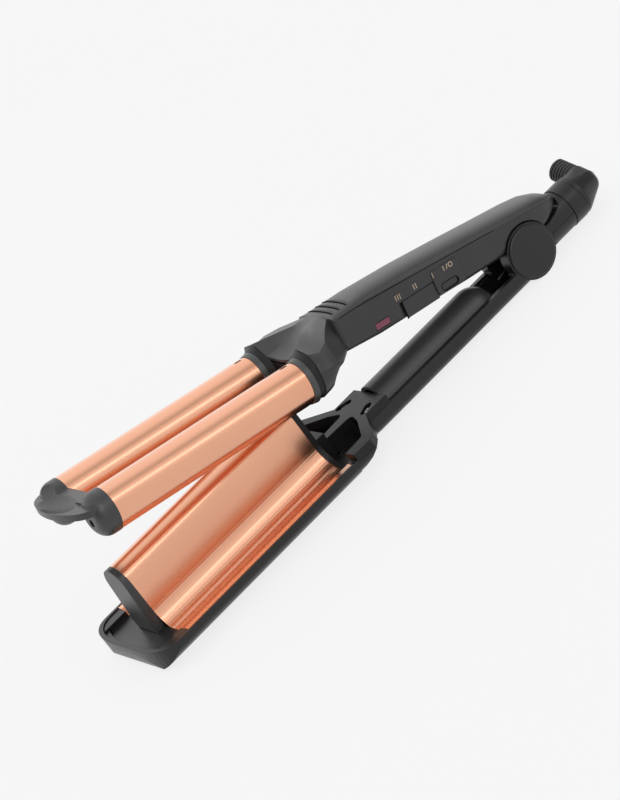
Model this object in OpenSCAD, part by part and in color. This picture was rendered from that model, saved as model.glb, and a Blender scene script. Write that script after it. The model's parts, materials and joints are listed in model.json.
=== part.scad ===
// Three-barrel hair waver: two round barrels above, one tall blade barrel below, joined by a sprung hinge.
// Lengths along the arms are measured from the hinge axis, heights from the hinge axis too.
// +X runs to the tips, +Y to the side with the controls, +Z up.

/* [Barrels] */
// Outer diameter of each upper barrel
barrel_d = 24; // [22:0.5:25]
// Distance between the two barrel axes
barrel_pitch = 48.4; // [47:0.2:51]
// Heated length of a barrel
barrel_len = 122.4; // [110:0.2:126]
// Rear end of the heated length, from the hinge
barrel_rear = 159.8; // [157:0.2:163]
// Height of the barrel axes over the hinge, along the upper arm
barrel_axis_z = 11.4; // [10:0.2:13]
// Wall of a barrel sleeve
barrel_wall = 1.2; // [0.8:0.1:1.6]
// Depth that a sleeve goes into its collar
sleeve_depth = 3.1; // [2:0.1:3.2]

/* [Blade plate] */
// Half width of the blade barrel
blade_half = 10.2; // [9:0.1:10.8]
// Top of the blade over the hinge
blade_top = 33.6; // [28:0.2:34]
// Rear end of the plate
plate_rear = 163.4; // [160:0.2:166]
// Length of the plate
plate_len = 121.2; // [112:0.2:122]
// Thickness of the plate
plate_t = 1.6; // [1.2:0.1:2]
// Height of the trough axes over the hinge
trough_axis_z = 6; // [4:0.2:8]
// Width of the flat outer lip
lip_w = 4.2; // [3:0.2:5]

/* [Base] */
// Width of the rim outside the plate lips
rim_w = 1.8; // [1.2:0.1:3]
// Front end of the base
base_front = 306; // [304:0.5:312]
// Rear end of the base, where the handle starts
base_rear = 116.5; // [112:0.5:122]
// Wall of the base
base_wall = 2.2; // [1.8:0.1:3]
// Half width of the flat underside
flat_half = 12; // [9:0.5:14]

/* [Lower handle] */
// Half width of the lower handle
grip_half = 16.2; // [15.6:0.1:17]
// Depth of the lower handle under the hinge
grip_depth = 14.4; // [13.5:0.1:15]
// Height of the side rails, from the hinge
rail_z = -3.6; // [-4.4:0.1:-3]
// Width of a side rail
rail_w = 3.4; // [3:0.1:4]
// Crown of the handle cover over the hinge
cover_top = 4.9; // [3.6:0.1:5.2]

/* [Hinge] */
// Radius of the hub
hub_r = 15.6; // [15:0.1:16]
// Diameter of the hinge pin
pin_d = 6; // [5:0.1:7]
// Opening angle of the arms at rest
rest_angle = 11.5; // [10:0.5:14]
// Inner face of each ear
ear_in = 8.3; // [8:0.1:9]
// Proud height of a hub cap
hub_cap_t = 1.2; // [0.8:0.1:2]
// Wire of the torsion spring
spring_wire = 1.2; // [1:0.1:1.3]

/* [Tail and swivel] */
// Radius of the tail collar
collar_r = 12.3; // [11.5:0.1:13]
// Front face of the tail collar
collar_front = -36; // [-38:0.2:-35.4]
// Length of the tail collar
collar_len = 9.2; // [8:0.2:11]
// Height of the swivel axis, from the hinge
swivel_z = -1.8; // [-2.4:0.1:-1]
// Radius of the swivel stem
stem_r = 7.9; // [7:0.1:8.5]
// Turn of the strain relief about the swivel axis
relief_turn = 65; // [0:1:90]
// Diameter of the cord bore
cord_bore = 5; // [4:0.1:6]

/* [Upper handle] */
// Half width of the upper handle
handle_half = 15; // [14.4:0.1:15.6]
// Wall of the handle shells
shell_wall = 2; // [1.6:0.1:2.4]
// Half width of the manifold
manifold_half = 38; // [37.4:0.2:40]

/* [Controls] */
// Middle of the power button along the handle
button_x = 52.5; // [48:0.5:54]
// Length of the power button
button_len = 11.2; // [9:0.2:13]
// Height of the power button
button_h = 4.2; // [3.6:0.1:5]
// Length of the heat slider plate
slider_len = 22; // [16:0.2:23]
// Travel of the heat slider each way
slider_travel = 1.8; // [1:0.1:2]
// Middle of the lamp window along the handle
lamp_x = 98; // [94:0.5:99]

/* [Hidden] */
$fn = 64;
eps = 0.01;
run_gap = 0.08;      // radial clearance of a running fit
seat_gap = 0.3;      // clearance round a part that is set in
barrel_r = barrel_d / 2;
half_pitch = barrel_pitch / 2;
barrel_front = barrel_rear + barrel_len;
plate_front = plate_rear + plate_len;
trough_r = half_pitch - blade_half;
lip_in = half_pitch + trough_r * 0.8;
lip_out = lip_in + lip_w;
lip_z = trough_axis_z - trough_r * 0.6;
base_half = lip_out + rim_w;
base_bottom = -hub_r;
ledge_z = lip_z - plate_t;
swivel_rear = collar_front - collar_len;
head_r = collar_r - 0.3;
head_x = swivel_rear - 13;
elbow_r = 7;
reach_front = base_front;
reach_back = elbow_r - head_x;
pivot_x = -(reach_front - reach_back) / 2;
pivot_z = hub_r;
flare_x = 125;
manifold_front = barrel_rear - 6.6;
leg_top = barrel_axis_z + 16.4;
blade_way = barrel_axis_z + 3.6;   // top of the blade's way under the tip
tip_front = barrel_front + 20.6;
cap_front = barrel_front + 11;
blade_cap_t = 5.6;
side_y = handle_half;
panel_t = 0.6;
slider_x = 72;
slider_z = 10.4;
slider_h = 9.6;
lamp_z = 11;
board_y = side_y - 9.6;
board_x = [42, 104];
board_z = [8.4, 20.4];
board_t = 1.6;
lug_in = 3.6;
lug_out = ear_in - 0.4;
knuckle_r = 8;
clear_r = hub_r + 0.7;
flange_z = clear_r + 0.3;

// ---- placing ----
module on_lower() translate([pivot_x, 0, pivot_z]) children();
module on_upper() translate([pivot_x, 0, pivot_z]) rotate([0, -rest_angle, 0]) children();
module along_x(x0, x1) translate([x0, 0, 0]) rotate([90, 0, 90]) linear_extrude(x1 - x0) children();
module along_y(y0, y1) translate([0, y1, 0]) rotate([90, 0, 0]) linear_extrude(y1 - y0) children();
module both_sides() { children(); mirror([0, 1, 0]) children(); }
module rod_x(x0, x1, r, y = 0, z = 0) translate([x0, y, z]) rotate([0, 90, 0]) cylinder(h = x1 - x0, r = r);
module rod_y(y0, y1, r, x = 0, z = 0) translate([x, y0, z]) rotate([-90, 0, 0]) cylinder(h = y1 - y0, r = r);
module block(x0, x1, y0, y1, z0, z1) translate([x0, y0, z0]) cube([x1 - x0, y1 - y0, z1 - z0]);

// ---- lofted solids: rings of points joined into one closed skin ----
module loft(rings) {
  n = len(rings[0]);
  m = len(rings);
  walls = [for (k = [0 : m - 2], i = [0 : n - 1]) each [
    [k * n + i, (k + 1) * n + i, (k + 1) * n + (i + 1) % n],
    [k * n + i, (k + 1) * n + (i + 1) % n, k * n + (i + 1) % n]]];
  first = [for (i = [1 : n - 2]) [0, i, i + 1]];
  last = [for (i = [1 : n - 2]) [(m - 1) * n, (m - 1) * n + i + 1, (m - 1) * n + i]];
  polyhedron(points = [for (r = rings) each r], faces = concat(first, walls, last), convexity = 8);
}

// ---- blade plate ----
function arc(cy, cz, r, a0, a1, n) =
  [for (i = [0 : n]) [cy + r * cos(a0 + (a1 - a0) * i / n), cz + r * sin(a0 + (a1 - a0) * i / n)]];
function flip(pts) = [for (i = [len(pts) - 1 : -1 : 0]) [-pts[i][0], pts[i][1]]];
// right half of the plate's section, from the crown outward, grown by d
function plate_half(d) = concat(
  arc(0, blade_top - blade_half, blade_half + d, 90, 0, 14),
  arc(half_pitch, trough_axis_z, trough_r - d, 180, 323.13, 22),
  [[lip_out, lip_z + d]]);
function plate_line(d) = concat(flip(plate_half(d)), plate_half(d));
module plate_section() polygon(concat(plate_line(0), [for (i = [len(plate_line(0)) - 1 : -1 : 0])
  plate_line(-plate_t)[i]]));
module lower_plate() color("#D89878") on_lower() along_x(plate_rear, plate_front) plate_section();

module blade_outline(low) polygon(concat([[-blade_half, low]],
  arc(0, blade_top - blade_half, blade_half, 180, 0, 28), [[blade_half, low]]));
cap_low = -7.4;
face_lean = 4;
module blade_front_cap() color("#5B5B5D") on_lower() difference() {
  along_x(plate_front, plate_front + blade_cap_t) blade_outline(cap_low);
  translate([plate_front + blade_cap_t, -20, cap_low + 8]) rotate([0, -face_lean, 0]) cube([20, 40, 60]);
}
module end_outline() polygon(concat(
  [[-30, base_bottom + 5.4], [-lip_in, ledge_z - 2.2], [-lip_in, ledge_z + 0.05], [-lip_out, ledge_z + 0.05]],
  plate_line(0.5),
  [[lip_out, ledge_z + 0.05], [lip_in, ledge_z + 0.05], [lip_in, ledge_z - 2.2], [30, base_bottom + 5.4]]));
module plate_end() color("#2E2E30") on_lower() difference() {
  union() {
    along_x(plate_rear - 3, plate_rear) end_outline();
    difference() {
      block(plate_rear - 9.4, plate_rear - 3, -8, 8, -11, 7);
      block(plate_rear - 9.4 - eps, plate_rear - 5, -6, 6, -9, 5);
    }
  }
  block(plate_rear - 10, plate_rear + 1, -3.8, 3.8, lead_z - 1.6, lead_z + 1.2);
}

// ---- base ----
function belly(hw, zt) = concat([[hw, zt]], [for (i = [0 : 10]) [flat_half + (hw - flat_half) * cos(9 * i),
  -4.5 + (base_bottom + 4.5) * sin(9 * i)]]);
module belly_section(hw, zt) polygon(concat(belly(hw, zt), flip(belly(hw, zt))));
waist = [base_rear, 132, 143];
front_curve = 13;
wing_x = [150, 160];
wing_floor = -9;
function front_arc(hw, xf) = [for (i = [0 : 12]) let (y = hw * cos(7.5 * i))
  [xf - front_curve + front_curve * pow(max(0, 1 - pow(y / hw, 3.6)), 0.5), y]];
function half_plan(inset) = let (hw = base_half - inset, gw = grip_half - inset, xf = base_front - inset)
  concat([[waist[0], gw], [waist[1], gw], [waist[2] + inset * 0.6, hw - 4], [waist[2] + 5, hw]],
    front_arc(hw, xf));
function mirrored(pts) = [for (i = [len(pts) - 1 : -1 : 0]) [pts[i][0], -pts[i][1]]];
module base_plan(inset = 0) polygon(concat(half_plan(inset), mirrored(half_plan(inset))));
module lower_base() color("#39393B") on_lower() difference() {
  intersection() {
    along_x(base_rear, base_front) belly_section(base_half, lip_z + 0.2);
    translate([0, 0, base_bottom]) linear_extrude(40) base_plan();
    union() {
      along_x(base_rear, waist[1]) grip_section(grip_half, 10, -grip_depth, 8);
      block(waist[1], base_front, -60, 60, -20, 20);
    }
  }
  intersection() {
    along_x(base_rear - eps, base_front - base_wall)
      belly_section(base_half - base_wall * 2, base_bottom + base_wall + 30);
    translate([0, 0, base_bottom + base_wall]) linear_extrude(40) base_plan(base_wall * 2);
    union() {
      block(base_rear - 1, waist[1] + 2, -60, 60, base_wall - grip_depth, 30);
      block(waist[1] + 1, wing_x[1] + 1, -20, 20, base_wall - grip_depth, 30);
      block(waist[1] + 1, wing_x[0], -27, 27, wing_floor, 30);
      block(wing_x[0] - eps, wing_x[1] + 1, -60, 60, wing_floor, 30);
      block(wing_x[1], base_front, -60, 60, -20, 30);
    }
  }
  // rounded rear corners and the front's set-back foot
  both_sides() translate([141.9, base_half - 4.4, -2.1]) rotate([22.2, 0, -20.9]) along_y(-60, 60)
    polygon([[0, 0], [1.9, -2.9], [4.3, -5.2], [8.4, -7.6], [13, -9.1], [17, -9.7],
      [17, -30], [-30, -30], [-30, 0]]);
  along_y(-60, 60) polygon([
    [base_front + 1, -6], [base_front, -6], [base_front - 0.7, -10], [base_front - 1.8, -13.6],
    [base_front - 3.4, base_bottom], [base_front - 3.4, base_bottom - 1], [base_front + 1, base_bottom - 1]]);
  // seats of the plate lips, of the front tray and of the bracket flange
  block(base_rear - eps, plate_front + 0.3, -lip_out - 0.1, lip_out + 0.1, ledge_z, 20);
  intersection() {
    translate([0, 0, ledge_z]) linear_extrude(20) base_plan(base_wall);
    block(plate_front, base_front, -60, 60, -20, 20);
  }
  block(base_rear - eps, plate_rear - 3.2, -base_half - 1, base_half + 1, ledge_z, 20);
  for (p = base_screw_at) translate([p[0], p[1], base_bottom - 1]) cylinder(h = 2.3, r = 3);
}
base_screw_at = [[180, 9], [180, -9], [270, 9], [270, -9]];
module base_screws() color("#77787A") on_lower() for (p = base_screw_at)
  translate([p[0], p[1], base_bottom + 0.3]) difference() {
    cylinder(h = 1, r = 2.8);
    for (a = [0, 90]) rotate(a) translate([-1.6, -0.3, -eps]) cube([3.2, 0.6, 0.5]);
  }

// dished front tray that closes the base in front of the blade
tray_z = lip_z - 0.4;
tray_r = 60;
module tip_insert() color("#4A4A4C") on_lower() difference() {
  union() {
    intersection() {
      translate([0, 0, ledge_z]) linear_extrude(tray_z - ledge_z) base_plan(base_wall + 0.2);
      block(plate_front + 0.2, base_front, -60, 60, -20, 20);
    }
    intersection() {
      translate([0, 0, base_bottom + base_wall + 0.1]) linear_extrude(ledge_z - base_bottom - base_wall)
        base_plan(base_wall * 2 + 0.3);
      block(plate_front + 0.2, base_front, -lip_in, lip_in, -20, 20);
      along_x(plate_front, base_front) belly_section(base_half - base_wall * 2 - seat_gap, 20);
    }
  }
  // hollow under the tray floor
  block(plate_front, base_front - 9, -24, 24, base_bottom, base_bottom + base_wall + 4);
  // thumb dish
  translate([plate_front + 8, 0, tray_z + tray_r - 3]) rotate([90, 0, 0])
    cylinder(h = 62, r = tray_r, center = true, $fn = 96);
  block(plate_front - 1, plate_front + blade_cap_t + 0.2, -blade_half - 0.2, blade_half + 0.2, -20, 20);
}

// ---- rear bracket with the two open cavities and the middle rib ----
bracket_top = 1.3;
rib_half = 2.2;
bracket_front = plate_rear - 3.2;
screw_x = 128.2;
screw_y = 11.4;
module cavity_plan() hull() {
  translate([waist[1] + 6, 7]) circle(3, $fn = 32);
  translate([waist[1] + 9, grip_half - 3.2]) circle(4, $fn = 32);
  translate([waist[2] + 6, base_half - 12.4]) circle(3, $fn = 32);
  translate([bracket_front + 2, base_half - 11.4]) circle(3, $fn = 32);
  translate([bracket_front + 2, 5.4]) circle(3, $fn = 32);
}
module lower_bracket() color("#2B2B2D") on_lower() difference() {
  union() {
    intersection() {
      translate([0, 0, ledge_z]) linear_extrude(bracket_top - ledge_z) base_plan(0.1);
      block(base_rear, bracket_front, -60, 60, -20, 20);
    }
    intersection() {
      translate([0, 0, wing_floor + 0.1]) linear_extrude(ledge_z - wing_floor - 0.1)
        base_plan(base_wall * 2 + 3.6);
      union() {
        block(base_rear, wing_x[0] + 0.3, -26.6, 26.6, -20, 20);
        block(wing_x[0] + 0.3, bracket_front, -60, 60, -20, 20);
      }
    }
  }
  both_sides() translate([0, 0, wing_floor + 1.4]) linear_extrude(40) cavity_plan();
  both_sides() translate([screw_x, screw_y, bracket_top - 2.6]) linear_extrude(5) hull() {
    translate([-2.4, -1.2]) circle(2.3, $fn = 32);
    translate([2.4, 1.2]) circle(2.3, $fn = 32);
  }
  block(bracket_front - 8, bracket_front + 1, -8.6, 8.6, -11.4, 20);
}
module bracket_screws() color("#8A8B8D") on_lower() for (s = [-1, 1])
  translate([screw_x, s * screw_y, bracket_top - 2.6]) difference() {
    cylinder(h = 1.5, r = 2);
    for (a = [0, 90]) rotate(a) translate([-1.3, -0.25, 1]) cube([2.6, 0.5, 1]);
  }

// ---- inside the blade ----
heater_x = [plate_rear + 8, plate_front - 8];
frame_half = blade_half - plate_t - 0.06;
lead_z = base_bottom + base_wall + 2.4;
module lower_heater_frame() color("#B9BBBE") on_lower() difference() {
  union() {
    block(heater_x[0], heater_x[1], -frame_half, frame_half, trough_axis_z - 4, blade_top - blade_half);
    rod_x(heater_x[0], heater_x[1], frame_half, 0, blade_top - blade_half);
  }
  block(heater_x[0] - 1, heater_x[1] + 1, -2.6, 2.6, trough_axis_z - 5, blade_top - blade_half - 1);
}
module lower_heater() color("#E6E0D2") on_lower()
  block(heater_x[0] + 4, heater_x[1] - 4, -2.55, 2.55, trough_axis_z - 2, blade_top - blade_half - 2);
module thermostat() color("#C9C2AE") on_lower()
  translate([plate_rear + 24, half_pitch - 1.4, base_bottom + base_wall])
    cylinder(h = lip_z - trough_r * 0.4 - plate_t - base_bottom - base_wall - 0.1, r = 3);
module lower_leads() color("#7A1F1F") on_lower() for (s = [-1, 1])
  rod_x(24, heater_x[0] + 14, 0.9, s * 2.6, lead_z);

// ---- lower handle, ears and tail ----
module grip_section(hw, zt, zb, flat) polygon(concat(
  [[hw, zt]], [for (i = [0 : 8]) [flat + (hw - flat) * cos(11.25 * i), -8 + (zb + 8) * sin(11.25 * i)]],
  [for (i = [8 : -1 : 0]) [-flat - (hw - flat) * cos(11.25 * i), -8 + (zb + 8) * sin(11.25 * i)]],
  [[-hw, zt]]));
grip_in = grip_half - rail_w;
cover_seat = rail_z - 1.4;
tail_in = 10.4;
tail_r = collar_r - 0.3;
cover_end = -hub_r - 0.6;
module tail_blank() intersection() {
  rod_x(collar_front, 0, tail_r, 0, swivel_z);
  block(collar_front - 1, 1, -20, 20, -20, rail_z);
}
module handle_shell() color("#38383A") on_lower() difference() {
  union() {
    along_x(-2, base_rear) grip_section(grip_half, rail_z, -grip_depth, 8);
    tail_blank();
    both_sides() rod_y(ear_in, grip_half, hub_r);
  }
  // channel
  block(16, base_rear + 1, -grip_in, grip_in, cover_seat, 20);
  block(-14, base_rear + 1, -grip_in + 1.8, grip_in - 1.8, -grip_depth + 1.8, cover_seat + eps);
  block(-20, 17, -ear_in, ear_in, -grip_depth + 1.8, 40);
  // wire way and snap chamber of the swivel
  rod_x(collar_front + 2, -11, 6.4, 0, swivel_z);
  rod_x(collar_front - 1, collar_front + 4, tail_in, 0, swivel_z);
  // pin bore
  rod_y(-grip_half - 1, grip_half + 1, pin_d / 2);
}
cover_r = grip_in - 0.2;
cover_axis = cover_top - cover_r;
cover_back = 28;
module cover_blank(r) union() {
  rod_x(cover_back + cover_r, base_rear, r, 0, cover_axis);
  translate([cover_back + cover_r, 0, cover_axis]) sphere(r);
}
module handle_cover() color("#4C4C4E") on_lower() difference() {
  intersection() {
    cover_blank(cover_r);
    block(0, base_rear, -20, 20, cover_seat, 30);
  }
  cover_blank(cover_r - shell_wall);
}
cap_edge = hub_r - 1.1;
module hub_cap() rotate([-90, 0, 0]) translate([0, 0, grip_half]) rotate_extrude($fn = 96)
  polygon([[0, 0], [cap_edge, 0], [cap_edge, hub_cap_t - 0.5], [cap_edge - 0.6, hub_cap_t], [0, hub_cap_t]]);
// half-round lid of the tail, low enough for the upper arm's tail
module tail_cover() color("#38383A") on_lower() difference() {
  intersection() {
    rod_x(collar_front, cover_end, tail_r - 0.2, 0, swivel_z);
    block(collar_front - 1, 0, -20, 20, rail_z, 20);
  }
  rod_x(collar_front - 1, 0, 6.4, 0, swivel_z);
  rod_x(collar_front - 1, collar_front + 4, tail_in, 0, swivel_z);
  along_y(-30, 30) polygon([[0, 2.2], [-20, 2.2], [-27, 3.4], [-32, 5],
    [collar_front + 2.5, 8], [collar_front + 2.5, 30], [0, 30]]);
}
module near_hub_cap() color("#3F3F41") on_lower() hub_cap();
module far_hub_cap() color("#3F3F41") on_lower() mirror([0, 1, 0]) hub_cap();
module hinge_pin() color("#A9ABAE") on_lower() rod_y(-grip_half, grip_half, pin_d / 2);

// ---- torsion spring: four close turns and two legs ----
coil_r = pin_d / 2 + 0.5 + spring_wire / 2;
turns = 4.25;
leg = 17;
steps = 84;
coil_step = spring_wire + 0.1;
function coil_point(i) = let (a = -90 + 360 * turns * i / steps)
  [coil_r * cos(a), turns * coil_step * (i / steps - 0.5), coil_r * sin(a)];
first_y = coil_point(0)[1];
last_y = coil_point(steps)[1];
spring_path = concat(
  [[leg, first_y, -coil_r - 2.6], [leg * 0.4, first_y, -coil_r - 0.9]],
  [for (i = [0 : steps]) coil_point(i)],
  [[coil_r, last_y, 9.5], [coil_r + 0.3, last_y, flange_z - spring_wire / 2]]);
function unit(v) = v / norm(v);
function tangent(p, i) = unit(p[min(i + 1, len(p) - 1)] - p[max(i - 1, 0)]);
function wire_ring(p, i, r) = let (t = tangent(p, i), s = unit(cross(t, [0.02, 1, 0.01])), u = cross(t, s))
  [for (k = [0 : 7]) p[i] + r * (cos(45 * k) * s + sin(45 * k) * u)];
module torsion_spring() color("#B5B7BA") on_lower()
  loft([for (i = [0 : len(spring_path) - 1]) wire_ring(spring_path, i, spring_wire / 2)]);

// ---- tail collar and swivel ----
module on_swivel() on_lower() translate([0, 0, swivel_z]) rotate([relief_turn, 0, 0]) children();
module tail_collar() color("#333335") on_lower() difference() {
  union() {
    rod_x(swivel_rear, collar_front - 0.4, collar_r, 0, swivel_z);
    rod_x(swivel_rear, collar_front, collar_r - 0.7, 0, swivel_z);
  }
  rod_x(swivel_rear - 1, collar_front + 1, stem_r + run_gap, 0, swivel_z);
}
head_len = swivel_rear - seat_gap - head_x;
// closed dome of radius r that runs forward as a round bar
module dome_x(r, front) rotate([0, 90, 0]) rotate_extrude($fn = 96) polygon(concat(
  [for (i = [0 : 12]) [r * sin(7.5 * i), -r * cos(7.5 * i)]], [[r, front], [0, front]]));
relief_start = 3;
neck_end = 8.4;
neck_r = 4.3;
module head_half() translate([head_x, 0, 0]) difference() {
  hull() {
    rod_x(head_len - 2.6, head_len, head_r);
    rod_x(head_len - 5, head_len - 4, head_r - 0.9);
    translate([0.4, 0, -0.6]) sphere(elbow_r - 0.4, $fn = 48);
    cylinder(h = neck_end, r = elbow_r, $fn = 48);
  }
  dome_x(5.2, head_len + 1);
  cylinder(h = 30, r = neck_r + 0.1);
  translate([0, 0, relief_start]) cylinder(h = 3, r = 5.8);
  // seat of the relief's ribs
  translate([0, 0, neck_end]) cylinder(h = 30, r = elbow_r + 0.2);
  rod_x(head_len - 3.1, head_len + 1, 9.6);
}
module swivel_head_near() color("#3C3C3E") on_swivel() intersection() {
  head_half();
  block(-90, 0, 0.04, 40, -40, 40);
}
module swivel_head_far() color("#3C3C3E") on_swivel() intersection() {
  head_half();
  block(-90, 0, -40, -0.04, -40, 40);
}
module swivel_stem() color("#4A4A4C") on_swivel() difference() {
  union() {
    rod_x(swivel_rear - 3.3, swivel_rear - 0.35, 9.5);
    rod_x(swivel_rear - 3.3, collar_front + 3.6, stem_r);
    rod_x(collar_front + seat_gap, collar_front + 2.6, tail_in - 0.5);
  }
  rod_x(swivel_rear - 9, collar_front + 9, 5.6);
}
relief_len = 22.5;
ribs = 7;
rib_pitch = 1.9;
module strain_relief() color("#5A5A5C") on_swivel() translate([head_x, 0, 0]) difference() {
  union() {
    translate([0, 0, relief_start + 0.1]) cylinder(h = 2.7, r = 5.7);
    translate([0, 0, relief_start]) cylinder(h = 6, r = neck_r);
    translate([0, 0, neck_end + 0.2]) cylinder(h = relief_len - neck_end - 0.2, r = 5.4);
    for (k = [0 : ribs - 1]) translate([0, 0, neck_end + 0.5 + rib_pitch * k])
      cylinder(h = 1.25, r = 6.6 - 0.03 * k);
  }
  translate([0, 0, -1]) cylinder(h = 60, r = cord_bore / 2);
}

// ---- upper handle and manifold ----
// x, half width, underside, parting, crown, corner power
grip_stations = [
  [flare_x - 0.2, handle_half + 3.2, 8.3, 26.9, 29.6, 2.3],
  [122.6, handle_half + 1.6, 8, 26.8, 29.9, 2.4],
  [100, handle_half, 5.8, 26.4, 31.1, 2.4],
  [70, handle_half, 5.4, 24.3, 30.2, 2.4],
  [40, handle_half, 4.6, 22.5, 28.1, 2.4],
  [16, handle_half, 4.6, 21, 26.1, 2.4],
  [-8, handle_half, 5, 19.6, 24.2, 2.4],
  [-18, handle_half - 1, 7, 18.7, 23.2, 2.3],
  [-25, handle_half - 3.4, 9.6, 17.4, 21, 2.2],
  [-29.4, handle_half - 7, 12, 15.6, 18.2, 2.1]];
// x, half width, underside, parting, corner reach, then the facet corners of a leg (y, height) and the valley
leg_stations = [
  [manifold_front, manifold_half, barrel_axis_z - 12.3, barrel_axis_z + 2.7, 12.9,
    manifold_half - 0.6, 19.6, manifold_half - 4.2, 25, 22.6, leg_top, 19.8],
  [147, manifold_half, barrel_axis_z - 11, 13.8, 14,
    manifold_half - 3.8, 21.4, manifold_half - 4.6, 22.8, 18, leg_top + 0.4, 21.5],
  [144, manifold_half - 0.2, 4.5, 13.7, 14,
    manifold_half - 3.6, 20.6, manifold_half - 5, 24, 15, leg_top + 0.7, 23.3],
  [141, manifold_half - 1.1, 8, 13.4, 14,
    manifold_half - 3.8, 18.4, manifold_half - 6, 25, 12, leg_top + 1.1, 25.6],
  [135, manifold_half - 7.5, 8.4, 11.3, 8,
    manifold_half - 10.6, 18.6, manifold_half - 14, 27, 7, leg_top + 1.4, 28],
  [129.5, manifold_half - 14, 8.4, 11.2, 5,
    manifold_half - 16.6, 19, manifold_half - 21, 27.8, 7, leg_top + 1.5, 29.2],
  [flare_x + 0.2, handle_half + 3.6, 8.3, 10.9, 4,
    handle_half + 2.4, 19, handle_half - 3, 28.6, 6, leg_top + 1.6, 29.6]];
rib_x = [119.7, 115, 110.2];
rib_rise = 1;
upper_x = concat([for (s = leg_stations) s[0]], [grip_stations[0][0], grip_stations[1][0]],
  [for (x = rib_x, d = [1.3, 0.8, -0.8, -1.3]) x + d],
  [for (k = [2 : len(grip_stations) - 1]) grip_stations[k][0]]);
function rise_at(x) = len([for (r = rib_x) if (abs(x - r) < 1) r]) > 0 ? rib_rise : 0;
function upper_at(x, k) = lookup(x, [for (s = x > flare_x ? leg_stations : grip_stations) [s[0], s[k]]]);
function power(v, p) = sign(v) * pow(abs(v), p);
function mean(a, b) = [(a[0] + b[0]) / 2, (a[1] + b[1]) / 2];
// near half of the crown, from the parting edge to the middle: facets on the legs, a soft arch on the grip
function leg_half(x) = let (a = [upper_at(x, 1), upper_at(x, 3) + 0.03], b = [upper_at(x, 5), upper_at(x, 6)],
    c = [upper_at(x, 7), upper_at(x, 8)], d = [upper_at(x, 9), upper_at(x, 10)], v = upper_at(x, 11))
  [a, mean(a, b), b, mean(b, c), c, mean(c, d), d, [d[0] * 0.58, v + (d[1] - v) * 0.15], [0, v]];
function grip_half_line(x) =
  let (hw = upper_at(x, 1), mid = upper_at(x, 3), hi = upper_at(x, 4), p = 2 / upper_at(x, 5))
  [for (i = [0 : 8]) [hw * power(cos(11.25 * i), p), mid + 0.03 + (hi - mid) * power(sin(11.25 * i), p)
    + rise_at(x) * pow(sin(11.25 * i), 6)]];
// top of the section from the near parting edge to the far one, w inside the outer face
function crown_line(x, w) =
  let (half = x > flare_x ? leg_half(x) : grip_half_line(x), hw = half[0][0], mid = half[0][1],
    hi = max([for (q = half) q[1]]), fy = (hw - w) / hw, fz = (hi - w - mid) / (hi - mid))
  [for (i = [0 : 16]) let (q = half[min(i, 16 - i)], side = i > 8 ? -1 : 1)
    [x, side * q[0] * fy, mid + (q[1] - mid) * fz - w * 0.4 * pow(sin(11.25 * i), 4)]];
corner_r = 4.6;
function hull_line(x, w) =
  let (hw = upper_at(x, 1) - w, mid = upper_at(x, 3), lo = min(upper_at(x, 2) + w, mid - 0.6),
    c = x > flare_x ? upper_at(x, 4) - w : min(corner_r, hw * 0.6), d = min(c, (mid - lo) * 0.9))
  concat([[x, hw, mid - 0.03]],
    [for (i = [0 : 4]) [x, hw - c + c * cos(22.5 * i), lo + d - d * sin(22.5 * i)]],
    [for (i = [4 : -1 : 0]) [x, -hw + c - c * cos(22.5 * i), lo + d - d * sin(22.5 * i)]],
    [[x, -hw, mid - 0.03]]);
// thin wall between an outer and an inner line at each station
module shell_loft(outer, inner) {
  n = len(outer[0]);
  m = len(outer);
  points = [for (k = [0 : m - 1]) each concat(outer[k], inner[k])];
  function at(k, i) = k * 2 * n + i;
  function quad(a, b, c, d) = [[a, b, c], [a, c, d]];
  skin = [for (k = [0 : m - 2], i = [0 : n - 2]) each concat(
    quad(at(k, i), at(k, i + 1), at(k + 1, i + 1), at(k + 1, i)),
    quad(at(k, n + i), at(k + 1, n + i), at(k + 1, n + i + 1), at(k, n + i + 1)))];
  rims = [for (k = [0 : m - 2]) each concat(
    quad(at(k, 0), at(k + 1, 0), at(k + 1, n), at(k, n)),
    quad(at(k, n - 1), at(k, 2 * n - 1), at(k + 1, 2 * n - 1), at(k + 1, n - 1)))];
  ends = [for (i = [0 : n - 2]) each concat(
    quad(at(0, i), at(0, n + i), at(0, n + i + 1), at(0, i + 1)),
    quad(at(m - 1, i), at(m - 1, i + 1), at(m - 1, n + i + 1), at(m - 1, n + i)))];
  polyhedron(points = points, faces = concat(skin, rims, ends), convexity = 8);
}
function back_to_front(pts) = [for (i = [len(pts) - 1 : -1 : 0]) pts[i]];
module at_barrels() for (s = [-1, 1]) translate([0, s * half_pitch, barrel_axis_z]) children();
module upper_top_shell() color("#5C5C5E") on_upper()
  shell_loft([for (x = upper_x) crown_line(x, 0)], [for (x = upper_x) crown_line(x, shell_wall)]);
// plate that closes the manifold's mouth and carries the barrels, with a dark cuff behind each collar
mount_x = manifold_front;
module mouth_outline(w) polygon([for (q = concat(crown_line(manifold_front, w),
  back_to_front(hull_line(manifold_front, w)))) [q[1], q[2]]]);
ring_len = 3.2;
module barrel_mounts() color("#2A2A2C") on_upper() difference() {
  union() {
    along_x(mount_x - 3, mount_x) mouth_outline(shell_wall + 1.4);
    at_barrels() rod_x(mount_x - 1, mount_x + 1, core_r - 2.4);
    at_barrels() rod_x(mount_x, barrel_rear + 6, core_r);
    intersection() {
      at_barrels() translate([mount_x - eps, 0, 0]) rotate([0, 90, 0])
        cylinder(h = barrel_rear - ring_len - mount_x + eps, r1 = barrel_r + 3.4, r2 = barrel_r + 0.9);
      along_x(mount_x, barrel_rear) mouth_outline(0.5);
    }
  }
  at_barrels() rod_x(mount_x - 5, barrel_rear + 7, 6);
}
slider_reach = slider_len / 2 + slider_travel + 0.1;
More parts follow.
